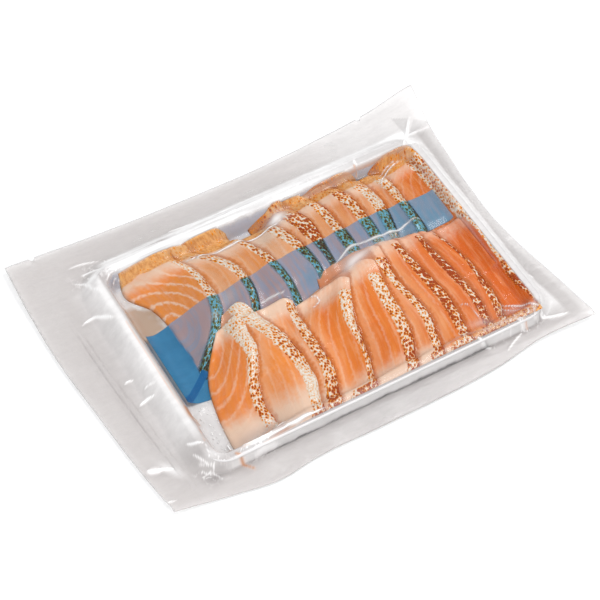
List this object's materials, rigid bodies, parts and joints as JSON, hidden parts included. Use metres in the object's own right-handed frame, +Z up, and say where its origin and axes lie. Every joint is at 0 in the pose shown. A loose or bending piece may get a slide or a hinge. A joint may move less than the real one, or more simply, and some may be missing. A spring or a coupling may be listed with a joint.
{
  "type": "pack of seared salmon slices",
  "caption": "Clear vacuum bag lying flat, drawn tight over a shallow tray with two rows of overlapping seared salmon slices and a clear sheet with a blue stripe.",
  "frame": {"origin": "under the middle of the bag's outline, on the plane that the tray's flat bottom rests on", "axes": "+X along the bag's long side, away from its wide sealed end; +Y from the front row of slices to the back row; +Z up"},
  "size_m": [0.2862, 0.2092, 0.0151],
  "materials": {
    "bag_film": "clear vacuum film, glossy, with haze and creases",
    "tray_plastic": "thin pale tray plastic, smooth",
    "salmon_flesh": "raw orange flesh with pale fat lines and pale ends, moist",
    "seared_skin": "cream seared edge with small brown char marks",
    "stripe_film": "clear sheet with a see-through blue stripe"
  },
  "bodies": {
    "root": {"bag": "bag_film"}
  },
  "joints": []
}
